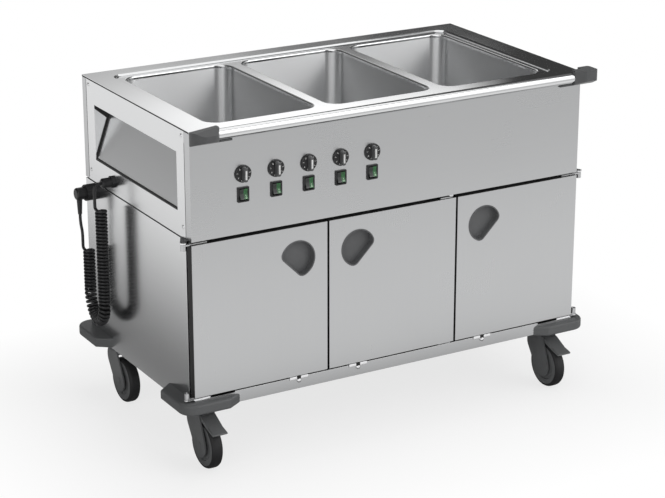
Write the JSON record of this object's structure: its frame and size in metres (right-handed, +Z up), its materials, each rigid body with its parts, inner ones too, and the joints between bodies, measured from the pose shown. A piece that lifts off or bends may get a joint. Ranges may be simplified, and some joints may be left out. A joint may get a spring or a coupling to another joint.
{
  "type": "bain-marie trolley",
  "caption": "Stainless steel bain-marie trolley with open heated wells over a cabinet with swing doors, on swivel castors with corner bumpers and a parked curly mains lead.",
  "frame": {"origin": "on the floor, under the middle of the cabinet's length and depth", "axes": "+X along the trolley's length to the right as seen from the controls, +Y from the controls to the back, +Z up"},
  "size_m": [1.2519, 0.7035, 0.907],
  "materials": {
    "stainless": "brushed",
    "bright_steel": "polished",
    "heater_plate": "plain",
    "grey_plastic": "fine grain",
    "black_plastic": "satin",
    "green_lens": "clear tinted",
    "black_rubber": "matt",
    "tread": "matt"
  },
  "bodies": {
    "chassis": {"worktop": "stainless", "well_left": "stainless", "well_middle": "stainless", "well_right": "stainless", "heating_plates": "heater_plate", "front_rail": "stainless", "rail_caps": "grey_plastic", "control_panel": "stainless", "end_panel_left": "stainless", "end_panel_right": "stainless", "grip_pocket_left": "stainless", "grip_pocket_right": "stainless", "upper_rear_panel": "stainless", "side_wall_left": "stainless", "side_wall_right": "stainless", "rear_wall": "stainless", "cabinet_ceiling": "stainless", "partition_left": "stainless", "partition_right": "stainless", "base_tray": "stainless", "corner_bumpers": "grey_plastic", "door_catches": "stainless", "hinge_brackets": "bright_steel", "door_gaskets": "black_rubber", "thermostats": "black_plastic", "switch_bodies": "black_plastic", "cord_gland": "black_plastic", "parking_socket": "grey_plastic", "gland_tail": "black_rubber", "curly_cord": "black_rubber", "plug_tail": "black_rubber", "plug": "black_plastic", "panel_screws": "bright_steel", "castor_plates": "bright_steel"},
    "left_door": {"door_left": "stainless", "door_grip_left": "grey_plastic"},
    "middle_door": {"door_middle": "stainless", "door_grip_middle": "grey_plastic"},
    "right_door": {"door_right": "stainless", "door_grip_right": "grey_plastic"},
    "front_left_fork": {"castor_fork_front_left": "grey_plastic"},
    "front_left_wheel": {"castor_wheel_front_left": "tread"},
    "front_left_pedal": {"brake_pedal_front_left": "grey_plastic"},
    "front_right_fork": {"castor_fork_front_right": "grey_plastic"},
    "front_right_wheel": {"castor_wheel_front_right": "tread"},
    "front_right_pedal": {"brake_pedal_front_right": "grey_plastic"},
    "rear_left_fork": {"castor_fork_rear_left": "grey_plastic"},
    "rear_left_wheel": {"castor_wheel_rear_left": "tread"},
    "rear_right_fork": {"castor_fork_rear_right": "grey_plastic"},
    "rear_right_wheel": {"castor_wheel_rear_right": "tread"},
    "dial_1": {"knob_1": "black_plastic"},
    "dial_2": {"knob_2": "black_plastic"},
    "dial_3": {"knob_3": "black_plastic"},
    "dial_4": {"knob_4": "black_plastic"},
    "dial_5": {"knob_5": "black_plastic"},
    "switch_1": {"rocker_1": "green_lens"},
    "switch_2": {"rocker_2": "green_lens"},
    "switch_3": {"rocker_3": "green_lens"},
    "switch_4": {"rocker_4": "green_lens"},
    "switch_5": {"rocker_5": "green_lens"}
  },
  "joints": [
    {"name": "left_door_hinge", "type": "hinge", "parent": "chassis", "child": "left_door", "pos_m": [-0.593, -0.302, 0.412], "axis": [0, 0, 1], "range_deg": [-270, 0]},
    {"name": "middle_door_hinge", "type": "hinge", "parent": "chassis", "child": "middle_door", "pos_m": [0.18033, -0.304, 0.412], "axis": [0, 0, 1], "range_deg": [0, 100]},
    {"name": "right_door_hinge", "type": "hinge", "parent": "chassis", "child": "right_door", "pos_m": [0.593, -0.302, 0.412], "axis": [0, 0, 1], "range_deg": [0, 270]},
    {"name": "front_left_swivel", "type": "hinge", "parent": "chassis", "child": "front_left_fork", "pos_m": [-0.529, -0.2435, 0.15], "axis": [0, 0, 1], "continuous": true},
    {"name": "front_left_wheel_spin", "type": "hinge", "parent": "front_left_fork", "child": "front_left_wheel", "pos_m": [-0.529, -0.281, 0.0625], "axis": [1, 0, 0], "continuous": true},
    {"name": "front_left_brake", "type": "hinge", "parent": "front_left_fork", "child": "front_left_pedal", "pos_m": [-0.529, -0.2775, 0.139], "axis": [1, 0, 0], "range_deg": [0, 8]},
    {"name": "front_right_swivel", "type": "hinge", "parent": "chassis", "child": "front_right_fork", "pos_m": [0.529, -0.2435, 0.15], "axis": [0, 0, 1], "continuous": true},
    {"name": "front_right_wheel_spin", "type": "hinge", "parent": "front_right_fork", "child": "front_right_wheel", "pos_m": [0.529, -0.281, 0.0625], "axis": [1, 0, 0], "continuous": true},
    {"name": "front_right_brake", "type": "hinge", "parent": "front_right_fork", "child": "front_right_pedal", "pos_m": [0.529, -0.2775, 0.139], "axis": [1, 0, 0], "range_deg": [0, 8]},
    {"name": "rear_left_swivel", "type": "hinge", "parent": "chassis", "child": "rear_left_fork", "pos_m": [-0.529, 0.2435, 0.15], "axis": [0, 0, 1], "continuous": true},
    {"name": "rear_left_wheel_spin", "type": "hinge", "parent": "rear_left_fork", "child": "rear_left_wheel", "pos_m": [-0.529, 0.206, 0.0625], "axis": [1, 0, 0], "continuous": true},
    {"name": "rear_right_swivel", "type": "hinge", "parent": "chassis", "child": "rear_right_fork", "pos_m": [0.529, 0.2435, 0.15], "axis": [0, 0, 1], "continuous": true},
    {"name": "rear_right_wheel_spin", "type": "hinge", "parent": "rear_right_fork", "child": "rear_right_wheel", "pos_m": [0.529, 0.206, 0.0625], "axis": [1, 0, 0], "continuous": true},
    {"name": "knob_1_turn", "type": "hinge", "parent": "chassis", "child": "dial_1", "pos_m": [-0.434, -0.315, 0.775], "axis": [0, 1, 0], "range_deg": [0, 270]},
    {"name": "knob_2_turn", "type": "hinge", "parent": "chassis", "child": "dial_2", "pos_m": [-0.342, -0.315, 0.775], "axis": [0, 1, 0], "range_deg": [0, 270]},
    {"name": "knob_3_turn", "type": "hinge", "parent": "chassis", "child": "dial_3", "pos_m": [-0.25, -0.315, 0.775], "axis": [0, 1, 0], "range_deg": [0, 270]},
    {"name": "knob_4_turn", "type": "hinge", "parent": "chassis", "child": "dial_4", "pos_m": [-0.158, -0.315, 0.775], "axis": [0, 1, 0], "range_deg": [0, 270]},
    {"name": "knob_5_turn", "type": "hinge", "parent": "chassis", "child": "dial_5", "pos_m": [-0.066, -0.315, 0.775], "axis": [0, 1, 0], "range_deg": [0, 270]},
    {"name": "rocker_1_tip", "type": "hinge", "parent": "chassis", "child": "switch_1", "pos_m": [-0.434, -0.313, 0.722], "axis": [1, 0, 0], "range_deg": [0, 20]},
    {"name": "rocker_2_tip", "type": "hinge", "parent": "chassis", "child": "switch_2", "pos_m": [-0.342, -0.313, 0.722], "axis": [1, 0, 0], "range_deg": [0, 20]},
    {"name": "rocker_3_tip", "type": "hinge", "parent": "chassis", "child": "switch_3", "pos_m": [-0.25, -0.313, 0.722], "axis": [1, 0, 0], "range_deg": [0, 20]},
    {"name": "rocker_4_tip", "type": "hinge", "parent": "chassis", "child": "switch_4", "pos_m": [-0.158, -0.313, 0.722], "axis": [1, 0, 0], "range_deg": [0, 20]},
    {"name": "rocker_5_tip", "type": "hinge", "parent": "chassis", "child": "switch_5", "pos_m": [-0.066, -0.313, 0.722], "axis": [1, 0, 0], "range_deg": [0, 20]}
  ]
}
